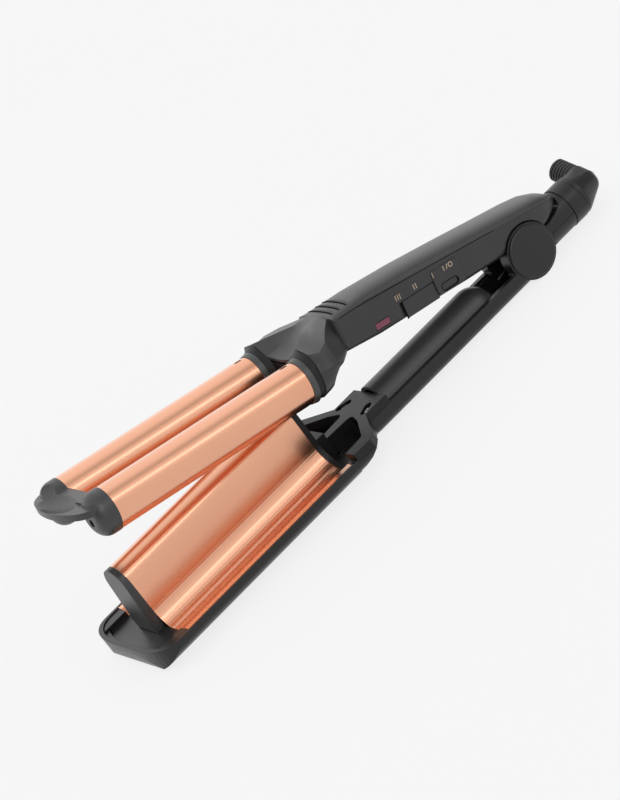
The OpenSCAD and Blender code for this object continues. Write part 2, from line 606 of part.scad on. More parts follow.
slider_slot = [slider_x - slider_reach, slider_x + slider_reach];
slot_low = slider_z - slider_h / 2 - 0.1;
slot_high = slider_z + slider_h / 2 + 0.1;
panel_x = [42, slider_x - slider_len / 2 + 0.1];
module stadium(length, height) hull()
  for (s = [-1, 1]) translate([s * (length - height) / 2, 0]) circle(height / 2, $fn = 32);
pad_corners = [for (q = [[1, 1, 0], [-1, 1, 90], [-1, -1, 180], [1, -1, 270]], a = [0 : 30 : 90])
  [(panel_x[0] + panel_x[1]) / 2 + q[0] * ((panel_x[1] - panel_x[0]) / 2 - 2) + 2 * cos(q[2] + a),
    13.5 + q[1] * 4.9 + 2 * sin(q[2] + a)]];
module button_shape(grow) stadium(button_len + 2 * grow, button_h + 2 * grow);
ledge_x = 13.6;
screw_at = [30, 110];
module upper_bottom_shell() color("#424244") on_upper() difference() {
  union() {
    difference() {
      shell_loft([for (x = upper_x) back_to_front(hull_line(x, 0))],
        [for (x = upper_x) back_to_front(hull_line(x, shell_wall))]);
      // open mouth over the hinge
      rod_y(-30, 30, clear_r);
    }
    // control panel pad
    along_y(side_y - 1.4, side_y + panel_t) polygon(pad_corners);
    // bosses of the shell screws
    for (x = screw_at) translate([x, 0, upper_at(x, 2) + 1]) cylinder(h = 6, r = 3);
    // ledges under the knuckle's flange
    for (s = [-1, 1]) block(s * (ledge_x + 1.4) - 1.4, s * (ledge_x + 1.4) + 1.4,
      -handle_half + shell_wall - 0.6, handle_half - shell_wall + 0.6, flange_z - 2.2, flange_z);
  }
  for (x = screw_at) translate([x, 0, 0]) cylinder(h = 30, r = 1.5);
  // heat slider recess, its pocket under the panel and its slot
  block(panel_x[1], slider_slot[1], side_y - 1.3, side_y + 2, slot_low, slot_high);
  block(slider_slot[0], panel_x[1] + eps, side_y - 1.3, side_y - 0.2, slot_low, slot_high);
  block(slider_x - 2.1 - slider_travel, slider_x + 2.1 + slider_travel, side_y - 5, side_y + 1,
    slider_z - 1.6, slider_z + 1.6);
  // power button hole and lamp window
  translate([button_x, 0, slider_z - 0.8]) along_y(side_y - 5, side_y + 3) button_shape(0.25);
  block(lamp_x - 4.6, lamp_x + 4.6, side_y - 5, side_y + 3, lamp_z - 1.9, lamp_z + 1.9);
  block(lamp_x - 5.6, lamp_x + 5.6, side_y - 7, side_y - 2.15, lamp_z - 2.8, lamp_z + 2.8);
}

// ---- knuckle that carries the upper arm on the pin ----
module hinge_knuckle() color("#2A2A2C") on_upper() difference() {
  union() {
    both_sides() {
      rod_y(lug_in, lug_out, knuckle_r);
      block(-6, 6, lug_in, lug_out, 0, flange_z + 0.5);
    }
    block(-ledge_x - 2.6, ledge_x + 2.6, -handle_half + shell_wall + 1.6, handle_half - shell_wall - 1.6,
      flange_z, flange_z + 2);
  }
  rod_y(-30, 30, pin_d / 2 + run_gap);
}
module barrel_sleeve() difference() {
  rod_x(barrel_rear - sleeve_depth, barrel_front, barrel_r);
  rod_x(barrel_rear - sleeve_depth - 1, barrel_front + 1, barrel_r - barrel_wall);
  translate([barrel_rear + 2.6, -1, 0]) cube([4, 2, 30]);
}
module near_barrel() color("#D89878") on_upper() translate([0, half_pitch, barrel_axis_z]) barrel_sleeve();
module far_barrel() color("#D89878") on_upper() translate([0, -half_pitch, barrel_axis_z]) barrel_sleeve();
module collar_ring() difference() {
  translate([barrel_rear - ring_len, 0, 0]) rotate([0, 90, 0])
    cylinder(h = ring_len, r1 = barrel_r + 1, r2 = barrel_r + 0.4);
  rod_x(barrel_rear - 5, barrel_rear + 5, barrel_r + 0.02);
}
module near_collar() color("#6B6C6E") on_upper() translate([0, half_pitch, barrel_axis_z]) collar_ring();
module far_collar() color("#6B6C6E") on_upper() translate([0, -half_pitch, barrel_axis_z]) collar_ring();
core_r = barrel_r - barrel_wall - 0.05;
module core() difference() {
  rod_x(barrel_rear + 8, barrel_front - 6, core_r);
  block(barrel_rear, barrel_front, -7, 7, -2.4, 2.4);
}
module near_core() color("#B9BBBE") on_upper() translate([0, half_pitch, barrel_axis_z]) core();
module far_core() color("#B9BBBE") on_upper() translate([0, -half_pitch, barrel_axis_z]) core();
module ptc_bar() block(barrel_rear + 12, barrel_front - 12, -6.9, 6.9, -2.35, 2.35);
module near_heater() color("#E6E0D2") on_upper() translate([0, half_pitch, barrel_axis_z]) ptc_bar();
module far_heater() color("#E6E0D2") on_upper() translate([0, -half_pitch, barrel_axis_z]) ptc_bar();

// ---- cool tip: two end caps, the saddle between them and the thumb tongue ----
cap_r = barrel_r + 0.2;
nose_r = 7;
module end_cap() difference() {
  translate([barrel_front, 0, 0]) rotate([0, 90, 0]) rotate_extrude() polygon(concat(
    [[0, -5], [core_r, -5], [core_r, 0], [cap_r, 0]],
    [for (i = [0 : 8]) [cap_r - nose_r + nose_r * cos(11.25 * i),
      cap_front - barrel_front - nose_r + nose_r * sin(11.25 * i)]],
    [[0, cap_front - barrel_front]]));
  rod_x(cap_front - 3, cap_front + 1, 2.1, 0, -2);
}
tongue_half = 33;
tongue_low = barrel_axis_z + 2.8;
tongue_top = barrel_axis_z + 6.4;
tongue_arc = 80;
function tongue_plan(hw, front) = concat([[barrel_front + 2, hw]],
  [for (i = [0 : 24]) let (y = hw * cos(7.5 * i))
    [front - tongue_arc + sqrt(tongue_arc * tongue_arc - y * y) - 5 * pow(abs(y / hw), 10), y]],
  [[barrel_front + 2, -hw]]);
// spindle that hollows the thumb rest, a little towards the far side
dish_r = 11;
dish_half = 31;
dish_x = barrel_front + 13.8;
dish_y = -4;
dish_z = barrel_axis_z + 15.2;
saddle_top = barrel_axis_z + 7.6;
module thumb_dish() translate([dish_x, dish_y, dish_z]) rotate([90, 0, 0])
  rotate_extrude($fn = 96) polygon(concat([[0, -dish_half]],
    [for (i = [1 : 19]) [dish_r * sin(9 * i), -dish_half * cos(9 * i)]], [[0, dish_half]]));
module upper_tip() color("#4E4F51") on_upper() difference() {
  union() {
    at_barrels() end_cap();
    // saddle between the caps
    block(barrel_front, barrel_front + 9, -half_pitch, half_pitch, tongue_low, saddle_top);
    translate([0, 0, tongue_low]) linear_extrude(tongue_top - tongue_low)
      polygon(tongue_plan(tongue_half, tip_front));
  }
  thumb_dish();
  // way of the blade when the arms close
  block(barrel_front - 1, barrel_front + 11.4, -blade_half - 1, blade_half + 1, -20, blade_way);
  at_barrels() rod_x(cap_front - 3, tip_front + 5, 2.1, 0, -2);
}
module tip_screws() color("#77787A") on_upper() at_barrels() difference() {
  rod_x(cap_front - 3, cap_front - 1.6, 2, 0, -2);
  for (a = [0, 90]) translate([cap_front - 2, 0, -2]) rotate([a, 0, 0])
    translate([0, -1.2, -0.25]) cube([1, 2.4, 0.5]);
}

// ---- controls ----
module control_board() color("#1F6B3A") on_upper()
  block(board_x[0], board_x[1], board_y - board_t, board_y, board_z[0], board_z[1]);
module slide_switch() color("#8F9092") on_upper() difference() {
  block(slider_x - 7, slider_x + 7, board_y, side_y - 5.2, slider_z - 2.1, slider_z + 3);
  block(slider_x - 1.6 - slider_travel, slider_x + 1.6 + slider_travel, board_y + 1.4, side_y,
    slider_z - 1.5, slider_z + 1.5);
}
module push_switch() color("#1C1C1E") on_upper() union() {
  block(button_x - 3, button_x + 3, board_y, board_y + 3.4, slider_z - 2.9, slider_z + 2.4);
  rod_y(board_y + 3.4, board_y + 4.4, 1.7, button_x, slider_z - 0.8);
}
module lamp() color("#D8404A") on_upper() rod_y(board_y, side_y - 3.4, 1.5, lamp_x, lamp_z);
module lamp_window() color("#7A2A42") on_upper() union() {
  block(lamp_x - 4.5, lamp_x + 4.5, side_y - 2.2, side_y + 0.1, lamp_z - 1.8, lamp_z + 1.8);
  block(lamp_x - 5.4, lamp_x + 5.4, side_y - 3.2, side_y - 2.2, lamp_z - 2.6, lamp_z + 2.6);
}
module heat_slider() color("#38383A") on_upper() union() {
  block(slider_x - slider_len / 2, slider_x + slider_len / 2, side_y - 1.15, side_y - 0.35,
    slider_z - slider_h / 2, slider_z + slider_h / 2);
  block(slider_x - 2, slider_x + 2, side_y - 5, side_y - 1.1, slider_z - 1.5, slider_z + 1.5);
  block(slider_x - 1.5, slider_x + 1.5, side_y - 7, side_y - 5, slider_z - 1.3, slider_z + 1.3);
}
module power_button() color("#5A5A5C") on_upper() translate([button_x, 0, slider_z - 0.8]) union() {
  along_y(side_y - 3.6, side_y - 0.1) button_shape(0);
  along_y(side_y - 4.3, side_y - 3.6) button_shape(-0.4);
}
mark_t = 0.12;
mark_h = 2.9;
mark_z = 18.6;
mark_w = 0.5;
module stroke(x, slant = 0)
  translate([x, side_y, mark_z]) rotate([0, slant, 0]) translate([-mark_w / 2, 0, -mark_h / 2])
    cube([mark_w, mark_t, mark_h]);
// heat steps III, II and I along the slider, then I/O over the button
module panel_marks() color("#D8C4A8") on_upper() union() {
  for (k = [-1 : 1]) stroke(slider_x + 12 + 1.4 * k);
  for (k = [-0.5, 0.5]) stroke(slider_x + 0.2 + 1.5 * k);
  translate([0, panel_t, 0]) {
    stroke(slider_x - 11.6);
    stroke(button_x + 0.3);
    stroke(button_x - 1.9, -24);
    translate([button_x - 4.4, 0, mark_z]) along_y(side_y, side_y + mark_t) difference() {
      circle(mark_h / 2);
      circle(mark_h / 2 - mark_w);
    }
  }
}
module shell_screws() color("#77787A") on_upper() for (x = screw_at) translate([x, 0, upper_at(x, 2) + 1])
  difference() {
    cylinder(h = 9, r = 1.4);
    translate([0, 0, -eps]) cylinder(h = 0.6, r = 0.7, $fn = 6);
  }
module thermal_fuse() color("#CFC9B8") on_upper() rod_x(mount_x - 14, mount_x - 3.05, 1.6, 0, 13.4);
module upper_leads() color("#7A1F1F") on_upper() for (s = [-1, 1]) union() {
  rod_x(-ledge_x, board_x[0] - 0.05, 0.8, s * 3.4, flange_z + 2.85);
  rod_x(board_x[1] + 0.05, mount_x - 3.05, 0.8, s * 3.4, 15);
}

lower_plate();
blade_front_cap();
plate_end();
lower_base();
tip_insert();
lower_bracket();
bracket_screws();
base_screws();
lower_heater();
lower_heater_frame();
thermostat();
lower_leads();
handle_shell();
handle_cover();
near_hub_cap();
far_hub_cap();
hinge_pin();
torsion_spring();
tail_collar();
swivel_head_near();
swivel_head_far();
swivel_stem();
strain_relief();
tail_cover();
upper_top_shell();
upper_bottom_shell();
barrel_mounts();
hinge_knuckle();
near_barrel();
far_barrel();
near_collar();
far_collar();
near_core();
far_core();
near_heater();
far_heater();
upper_tip();
tip_screws();
control_board();
slide_switch();
push_switch();
lamp();
lamp_window();
heat_slider();
power_button();
panel_marks();
shell_screws();
thermal_fuse();
upper_leads();
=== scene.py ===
import json
import math

import bpy
from mathutils import Matrix, Vector
from mathutils.bvhtree import BVHTree


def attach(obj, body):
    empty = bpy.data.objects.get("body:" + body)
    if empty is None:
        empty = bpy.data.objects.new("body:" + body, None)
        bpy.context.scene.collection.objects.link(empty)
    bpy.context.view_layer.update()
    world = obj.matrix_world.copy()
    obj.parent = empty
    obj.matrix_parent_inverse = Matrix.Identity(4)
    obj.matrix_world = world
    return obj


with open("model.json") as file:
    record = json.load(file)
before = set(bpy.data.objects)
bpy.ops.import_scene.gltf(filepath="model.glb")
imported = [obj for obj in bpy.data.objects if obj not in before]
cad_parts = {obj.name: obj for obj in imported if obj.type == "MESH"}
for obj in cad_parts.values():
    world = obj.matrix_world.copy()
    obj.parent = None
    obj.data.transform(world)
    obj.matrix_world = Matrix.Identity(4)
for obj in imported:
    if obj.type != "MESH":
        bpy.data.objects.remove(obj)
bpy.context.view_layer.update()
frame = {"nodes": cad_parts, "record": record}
print("waver loaded,", len(frame["nodes"]), "solids")


class Sock:
    # a socket that can be written into sums; every sign adds one Math node
    def __init__(self, net, link):
        self.net, self.link = net, link

    def math(self, operation, *values):
        return self.net.node("ShaderNodeMath", {"operation": operation}, dict(enumerate(values)))

    def __add__(self, other):
        return self.math("ADD", self, other)

    def __radd__(self, other):
        return self.math("ADD", other, self)

    def __sub__(self, other):
        return self.math("SUBTRACT", self, other)

    def __rsub__(self, other):
        return self.math("SUBTRACT", other, self)

    def __mul__(self, other):
        return self.math("MULTIPLY", self, other)

    def __rmul__(self, other):
        return self.math("MULTIPLY", other, self)

    def __truediv__(self, other):
        return self.math("DIVIDE", self, other)

    def __rtruediv__(self, other):
        return self.math("DIVIDE", other, self)

    def __abs__(self):
        return self.math("ABSOLUTE", self)


class Net:
    # the nodes of one finish, or of the world
    def __init__(self, tree):
        self.tree = tree
        tree.nodes.clear()

    def node(self, kind, settings=None, values=None, out=0):
        made = self.tree.nodes.new(kind)
        for key, value in (settings or {}).items():
            if key == "stops":
                ramp = made.color_ramp
                while len(ramp.elements) > 1:
                    ramp.elements.remove(ramp.elements[0])
                for i, (place, level) in enumerate(value):
                    stop = ramp.elements.new(place) if i else ramp.elements[0]
                    stop.position = place
                    stop.color = (level, level, level, 1)
            else:
                setattr(made, key, value)
        for key, value in (values or {}).items():
            if isinstance(value, Sock):
                self.tree.links.new(value.link, made.inputs[key])
            elif hasattr(value, "__len__") and made.inputs[key].type == "RGBA":
                made.inputs[key].default_value = (*value, 1)
            else:
                made.inputs[key].default_value = value
        return Sock(self, made.outputs[out]) if len(made.outputs) else None

    def spot(self):
        # where a point is on the resting waver, in metres
        return self.node("ShaderNodeTexCoord", out=3)

    def along(self, spot):
        # how far a point lies towards the barrel tips
        return self.node("ShaderNodeSeparateXYZ", values={0: spot})

    def blend(self, amount, first, second):
        return self.node("ShaderNodeMix", {"data_type": "RGBA"}, {0: amount, 6: first, 7: second}, out=2)

    def noise(self, spot, grain, detail=3.0):
        return self.node("ShaderNodeTexNoise", values={"Vector": spot, "Scale": 1 / grain, "Detail": detail})

    def ease(self, value, low, high):
        return self.node("ShaderNodeMapRange", {"interpolation_type": "SMOOTHSTEP"},
                         {0: value, 1: low, 2: high, 3: 0.0, 4: 1.0})

    def nook(self, reach):
        # 1 in the open and 0 deep in a gap of that width
        return self.node("ShaderNodeAmbientOcclusion", {"samples": 6}, {"Distance": reach}, out=1)

    def relief(self, height, depth, edge=0.0):
        # height in shares of depth; edge is the width over which corners look round, both in metres
        values = {"Height": height, "Distance": depth, "Strength": 1.0}
        if edge:
            values["Normal"] = self.node("ShaderNodeBevel", {"samples": 4}, {"Radius": edge})
        return self.node("ShaderNodeBump", values=values)

    def finish(self, values):
        shader = self.node("ShaderNodeBsdfPrincipled", values=values)
        self.node("ShaderNodeOutputMaterial", values={0: shader})


def newFinish(name):
    made = bpy.data.materials.new(name)
    made.use_nodes = True
    return made, Net(made.node_tree)


# rose-gold coating of the barrels and the blade plate; its colour turns darker and redder towards the collars
coating = {
    "tone": (0.84, 0.425, 0.265), "deep": (0.75, 0.35, 0.21), "collarTone": (0.70, 0.29, 0.16),
    "cloud": 0.03, "cloudShare": 0.4, "cloudRough": 0.03,
    "drawn": (4.0, 260.0, 260.0), "streakShare": 0.12, "streakRough": 0.02,
    "grain": 0.0004, "grainDepth": 0.0000012, "edge": 0.0003,
    "collarFrom": 0.018, "collarTo": 0.062, "collarShare": 0.35,
    "roughness": 0.22, "coat": 0.7, "coatCloud": 0.1, "coatRoughness": 0.12,
}


def barrelCoating():
    made, net = newFinish("roseGoldCoating")
    spot = net.spot()
    cloud = net.noise(spot, coating["cloud"])
    grain = net.noise(spot, coating["grain"], detail=2.0)
    drawn = net.node("ShaderNodeMapping", values={"Vector": spot, "Scale": coating["drawn"]})
    streak = net.noise(drawn, grain=1.0, detail=2.0)     # faint draw lines along the sleeve
    tone = net.blend(cloud * coating["cloudShare"] + streak * coating["streakShare"],
                     coating["tone"], coating["deep"])
    # the colour is blended darker and redder towards the collar end
    nearCollar = 1 - net.ease(net.along(spot), coating["collarFrom"], coating["collarTo"])
    tone = net.blend(nearCollar * coating["collarShare"], tone, coating["collarTone"])
    rough = coating["roughness"] + streak * coating["streakRough"] + cloud * coating["cloudRough"]
    net.finish({"Base Color": tone, "Metallic": 1.0, "Roughness": rough,
                "Coat Weight": coating["coat"] + cloud * coating["coatCloud"],
                "Coat Roughness": coating["coatRoughness"],
                "Normal": net.relief(grain, coating["grainDepth"], coating["edge"])})
    return made


# what all mouldings share: cloudy tone, rubbed spots, and painted shade that darkens the colour in gaps and
# under parts
moulding = {
    "cloud": 0.018, "cloudFrom": 0.3, "cloudTo": 0.7, "cloudShare": 0.6,
    "rubSize": 0.003, "rubFrom": 0.62, "rubTo": 0.75, "rubRough": 0.06, "grainRough": 0.08,
    "paintedShadeTone": (0.004, 0.004, 0.004), "paintedShadeFrom": 0.1, "paintedShadeTo": 0.6,
}
# satin and matt mouldings, from the light top shell to the black inner parts; the last value of each is how
# far the painted shade reaches
plastics = {
    "shell_grey": {
        "name": "satinGrey", "tone": (0.034, 0.034, 0.036), "light": (0.042, 0.042, 0.044),
        "worn": (0.080, 0.080, 0.084), "rub": 0.10, "roughness": 0.34, "gloss": 0.50,
        "grain": 0.00035, "grainDepth": 0.000006, "edge": 0.0005, "paintedShadeReach": 0.0012},
    "shell_dark": {
        "name": "satinCharcoal", "tone": (0.011, 0.011, 0.012), "light": (0.015, 0.015, 0.016),
        "worn": (0.028, 0.028, 0.030), "rub": 0.10, "roughness": 0.33, "gloss": 0.38,
        "grain": 0.0003, "grainDepth": 0.000006, "edge": 0.0005, "paintedShadeReach": 0.0010},
    "panel_grey": {
        "name": "panelCharcoal", "tone": (0.026, 0.026, 0.027), "light": (0.031, 0.031, 0.032),
        "worn": (0.06, 0.06, 0.062), "rub": 0.10, "roughness": 0.35, "gloss": 0.45,
        "grain": 0.0003, "grainDepth": 0.000006, "edge": 0.0005, "paintedShadeReach": 0.0010},
    "trim_grey": {
        "name": "trimCharcoal", "tone": (0.014, 0.014, 0.015), "light": (0.019, 0.019, 0.020),
        "worn": (0.036, 0.036, 0.038), "rub": 0.12, "roughness": 0.40, "gloss": 0.40,
        "grain": 0.00028, "grainDepth": 0.000008, "edge": 0.0004, "paintedShadeReach": 0.0008},
    "collar_grey": {
        "name": "collarGrey", "tone": (0.046, 0.050, 0.048), "light": (0.056, 0.060, 0.058),
        "worn": (0.106, 0.114, 0.110), "rub": 0.12, "roughness": 0.34, "gloss": 0.50,
        "grain": 0.00028, "grainDepth": 0.000006, "edge": 0.0003, "paintedShadeReach": 0.0008},
    "inner_black": {
        "name": "innerBlack", "tone": (0.006, 0.006, 0.007), "light": (0.010, 0.010, 0.011),
        "worn": (0.019, 0.019, 0.021), "rub": 0.1, "roughness": 0.42, "gloss": 0.32,
        "grain": 0.0004, "grainDepth": 0.000010, "edge": 0.0003, "paintedShadeReach": 0.0008},
    "relief_rubber": {
        "name": "reliefRubber", "tone": (0.034, 0.034, 0.035), "light": (0.046, 0.046, 0.047),
        "worn": (0.048, 0.048, 0.049), "rub": 0.2, "roughness": 0.50, "gloss": 0.35,
        "grain": 0.0005, "grainDepth": 0.000014, "edge": 0.0003, "paintedShadeReach": 0.0012},
}


def mouldedPlastic(look):
    made, net = newFinish(look["name"])
    spot = net.spot()
    cloud = net.noise(spot, moulding["cloud"])
    grain = net.noise(spot, look["grain"], detail=1.0)
    rub = net.noise(spot, moulding["rubSize"], detail=4.0)
    clouded = net.ease(cloud, moulding["cloudFrom"], moulding["cloudTo"]) * moulding["cloudShare"]
    tone = net.blend(clouded, look["tone"], look["light"])
    rubbed = net.ease(rub, moulding["rubFrom"], moulding["rubTo"]) * look["rub"]
    tone = net.blend(rubbed, tone, look["worn"])
    # painted shade: ambient occlusion darkens the colour in gaps, corners and under other parts
    unshaded = net.ease(net.nook(look["paintedShadeReach"]), moulding["paintedShadeFrom"], moulding["paintedShadeTo"])
    net.finish({"Base Color": net.blend(unshaded, moulding["paintedShadeTone"], tone),
                "Roughness": look["roughness"] + grain * moulding["grainRough"] - rub * moulding["rubRough"],
                "Specular IOR Level": look["gloss"],
                "Normal": net.relief(grain, look["grainDepth"], look["edge"])})
    return made


# screws, pin and spring, with fine turning marks
steel = {"tone": (0.56, 0.56, 0.57), "deep": (0.34, 0.34, 0.35), "turned": (900, 900, 5200),
         "depth": 0.000003, "roughness": 0.26, "turnedRough": 0.12, "edge": 0.0002}


def brightSteel():
    made, net = newFinish("brightSteel")
    drawn = net.node("ShaderNodeMapping", values={"Vector": net.spot(), "Scale": steel["turned"]})
    turned = net.noise(drawn, grain=1.0)
    net.finish({"Base Color": net.blend(turned, steel["deep"], steel["tone"]), "Metallic": 1.0,
                "Roughness": steel["roughness"] + turned * steel["turnedRough"],
                "Normal": net.relief(turned, steel["depth"], steel["edge"])})
    return made


# cast blocks that carry the heaters
heatBlock = {"tone": (0.66, 0.66, 0.67), "deep": (0.45, 0.45, 0.46), "pits": 0.0006, "depth": 0.00002,
             "roughness": 0.45, "pitRough": 0.15}


def castBlock():
    made, net = newFinish("castHeatBlock")
    pits = net.noise(net.spot(), heatBlock["pits"], detail=5.0)
    net.finish({"Base Color": net.blend(pits, heatBlock["deep"], heatBlock["tone"]), "Metallic": 1.0,
                "Roughness": heatBlock["roughness"] + pits * heatBlock["pitRough"],
                "Normal": net.relief(pits, heatBlock["depth"])})
    return made


# heater plates, fuse and thermostat bodies
ceramic = {"tone": (0.78, 0.75, 0.66), "speck": (0.52, 0.48, 0.40), "speckFrom": 0.55, "speckTo": 0.7,
           "grain": 0.0009, "depth": 0.00001, "roughness": 0.7, "grainRough": 0.1}


def firedCeramic():
    made, net = newFinish("firedCeramic")
    grain = net.noise(net.spot(), ceramic["grain"], detail=4.0)
    specks = net.ease(grain, ceramic["speckFrom"], ceramic["speckTo"])
    net.finish({"Base Color": net.blend(specks, ceramic["tone"], ceramic["speck"]),
                "Roughness": ceramic["roughness"] - grain * ceramic["grainRough"],
                "Normal": net.relief(grain, ceramic["depth"])})
    return made


# control board with its copper under the mask
board = {"mask": (0.02, 0.11, 0.045), "track": (0.06, 0.24, 0.09), "pitch": 0.0026, "trackWidth": 0.09,
         "depth": 0.00003, "roughness": 0.28, "cloud": 0.002, "cloudRough": 0.08}


def circuitBoard():
    made, net = newFinish("circuitBoard")
    spot = net.spot()
    upright = net.node("ShaderNodeMapping", values={"Vector": spot, "Rotation": (math.pi / 2, 0, 0)})
    tracks = net.node("ShaderNodeTexBrick", {"offset": 0.5}, {
        "Vector": upright, "Scale": 1 / board["pitch"], "Mortar Size": board["trackWidth"],
        "Color1": (0, 0, 0), "Color2": (0, 0, 0), "Mortar": (1, 1, 1)})
    level = net.node("ShaderNodeRGBToBW", values={0: tracks})
    net.finish({"Base Color": net.blend(level, board["mask"], board["track"]),
                "Roughness": board["roughness"] + net.noise(spot, board["cloud"]) * board["cloudRough"],
                "Normal": net.relief(level, board["depth"])})
    return made


# glass-fibre sleeving on the leads, two sets of threads crossed
sleeve = {"tone": (0.10, 0.012, 0.012), "dark": (0.04, 0.005, 0.005), "braid": 0.0011, "perBraid": 0.3,
          "depth": 0.00008, "roughness": 0.62, "threadRough": 0.1}


def leadSleeve():
    made, net = newFinish("braidedSleeve")
    spot = net.spot()
    flipped = net.node("ShaderNodeMapping", values={"Vector": spot, "Scale": (-1, 1, 1)})
    scale = sleeve["perBraid"] / sleeve["braid"]
    one, two = [net.node("ShaderNodeTexWave", {"wave_type": "BANDS", "bands_direction": "DIAGONAL"},
                         {"Vector": way, "Scale": scale}, out=1) for way in (spot, flipped)]
    weave = one * two
    net.finish({"Base Color": net.blend(weave, sleeve["dark"], sleeve["tone"]),
                "Roughness": sleeve["roughness"] + weave * sleeve["threadRough"],
                "Normal": net.relief(weave, sleeve["depth"])})
    return made


# lamp behind the window
redLamp = {"tone": (0.62, 0.05, 0.08), "deep": (0.35, 0.02, 0.04), "cloud": 0.002, "roughness": 0.2,
           "cloudRough": 0.06, "coat": 0.4, "coatCloud": 0.2}


def lampLens():
    made, net = newFinish("lampLens")
    cloud = net.noise(net.spot(), redLamp["cloud"])
    net.finish({"Base Color": net.blend(cloud, redLamp["deep"], redLamp["tone"]),
                "Roughness": redLamp["roughness"] + cloud * redLamp["cloudRough"],
                "Coat Weight": redLamp["coat"] + cloud * redLamp["coatCloud"]})
    return made


# ribbed red window over the lamp
window = {"tone": (0.30, 0.040, 0.085), "deep": (0.085, 0.008, 0.028), "rib": 0.0011, "depth": 0.00004,
          "ribShare": 0.6, "cloud": 0.003, "cloudShare": 0.3, "roughness": 0.22, "cloudRough": 0.06,
          "coat": 0.4, "coatCloud": 0.1, "edge": 0.0003}


def tintedWindow():
    made, net = newFinish("tintedWindow")
    spot = net.spot()
    wave = net.along(spot) * (2 * math.pi / window["rib"])
    ribs = net.node("ShaderNodeMath", {"operation": "SINE"}, {0: wave}) * 0.5 + 0.5     # 0 to 1 across a rib
    cloud = net.noise(spot, window["cloud"])
    net.finish({"Base Color": net.blend(ribs * window["ribShare"] + cloud * window["cloudShare"],
                                        window["deep"], window["tone"]),
                "Roughness": window["roughness"] + cloud * window["cloudRough"],
                "Coat Weight": window["coat"] + cloud * window["coatCloud"],
                "Normal": net.relief(ribs, window["depth"], window["edge"])})
    return made


# printed setting marks, a little thin in spots
marks = {"tone": (0.46, 0.36, 0.26), "thin": (0.32, 0.25, 0.17), "thinFrom": 0.5, "thinTo": 0.7,
         "speck": 0.0004, "depth": 0.000004, "roughness": 0.45, "speckRough": 0.1,
         "metal": 0.25, "speckMetal": 0.1}


def printedMark():
    made, net = newFinish("printedMark")
    speckle = net.noise(net.spot(), marks["speck"])
    net.finish({"Base Color": net.blend(net.ease(speckle, marks["thinFrom"], marks["thinTo"]),
                                        marks["tone"], marks["thin"]),
                "Roughness": marks["roughness"] + speckle * marks["speckRough"],
                "Metallic": marks["metal"] + speckle * marks["speckMetal"],
                "Normal": net.relief(speckle, marks["depth"])})
    return made


# the dark of a closed joint, also laid as painted shadow at the ridge feet and along the slider recess
seam = {"tone": (0.004, 0.004, 0.004), "dust": (0.010, 0.010, 0.010), "cloud": 0.002, "roughness": 0.85,
        "dustRough": 0.1, "gloss": 0.05}


def seamShadow():
    made, net = newFinish("seamShadow")
    dust = net.noise(net.spot(), seam["cloud"])
    net.finish({"Base Color": net.blend(dust, seam["tone"], seam["dust"]),
                "Roughness": seam["roughness"] + dust * seam["dustRough"],
                "Specular IOR Level": seam["gloss"]})
    return made


finishes = {slot: mouldedPlastic(look) for slot, look in plastics.items()}
finishes.update({
    "barrel_metal": barrelCoating(), "steel": brightSteel(), "heat_block": castBlock(),
    "ceramic": firedCeramic(), "board_green": circuitBoard(), "lead_red": leadSleeve(),
    "lamp_red": lampLens(), "window_red": tintedWindow(), "mark_gold": printedMark(),
})
# the panel side is a shade lighter than the other dark mouldings
lighter = {"upper_bottom_shell": "panel_grey", "heat_slider": "panel_grey", "power_button": "panel_grey"}
for row in frame["record"]["subparts"]:
    finish = finishes[lighter.get(row["node"], row["material_slot"])]
    for place in frame["nodes"][row["node"]].material_slots:
        place.material = finish


# the lofted shells come in flat facets; this welds them and shades them round up to a crease
softening = {"solids": ["upper_top_shell", "upper_bottom_shell"], "weld": 0.00001, "crease": math.radians(24)}


def creaseTree():
    tree = bpy.data.node_groups.new("shadeRound", "GeometryNodeTree")
    tree.interface.new_socket("Geometry", in_out="INPUT", socket_type="NodeSocketGeometry")
    tree.interface.new_socket("Geometry", in_out="OUTPUT", socket_type="NodeSocketGeometry")
    source, result = tree.nodes.new("NodeGroupInput"), tree.nodes.new("NodeGroupOutput")
    strip = tree.nodes.new("GeometryNodeRemoveAttribute")
    strip.inputs["Name"].default_value = "custom_normal"
    weld = tree.nodes.new("GeometryNodeMergeByDistance")
    weld.inputs["Distance"].default_value = softening["weld"]
    faces = tree.nodes.new("GeometryNodeSetShadeSmooth")
    edges = tree.nodes.new("GeometryNodeSetShadeSmooth")
    edges.domain = "EDGE"
    edges.inputs["Shade Smooth"].default_value = False
    angle = tree.nodes.new("GeometryNodeInputMeshEdgeAngle")
    sharp = tree.nodes.new("FunctionNodeCompare")
    sharp.inputs[1].default_value = softening["crease"]
    chain = [source, strip, weld, faces, edges, result]
    for before, after in zip(chain, chain[1:]):
        tree.links.new(before.outputs[0], after.inputs[0])
    tree.links.new(angle.outputs[0], sharp.inputs[0])
    tree.links.new(sharp.outputs[0], edges.inputs["Selection"])
    return tree


rounding = creaseTree()
for name in softening["solids"]:
    frame["nodes"][name].modifiers.new("shadeRound", "NODES").node_group = rounding
print("lofted shells shaded round")

# the upper arm's own axes: the place of its hinge and how far it stands open
hinge = next(joint for joint in frame["record"]["behaviour"]["joints"] if joint["name"] == "arm_hinge")
arm = {"hinge": Vector(hinge["pos_m"]), "open": math.radians(11.5)}


def onArm(x, y, z):
    # from the upper arm's own axes in millimetres to the resting waver in metres
    c, s = math.cos(arm["open"]), math.sin(arm["open"])
    return arm["hinge"] + Vector((x * c - z * s, y, x * s + z * c)) / 1000


def meshSpots(name):
    solid = frame["nodes"][name]
    return [solid.matrix_world @ v.co for v in solid.data.vertices]


square = ((-1, -1), (1, -1), (1, 1), (-1, 1))
beading = {"sides": 8, "aside": Vector((0.3, 0.2, 1))}    # aside only has to lie off every path


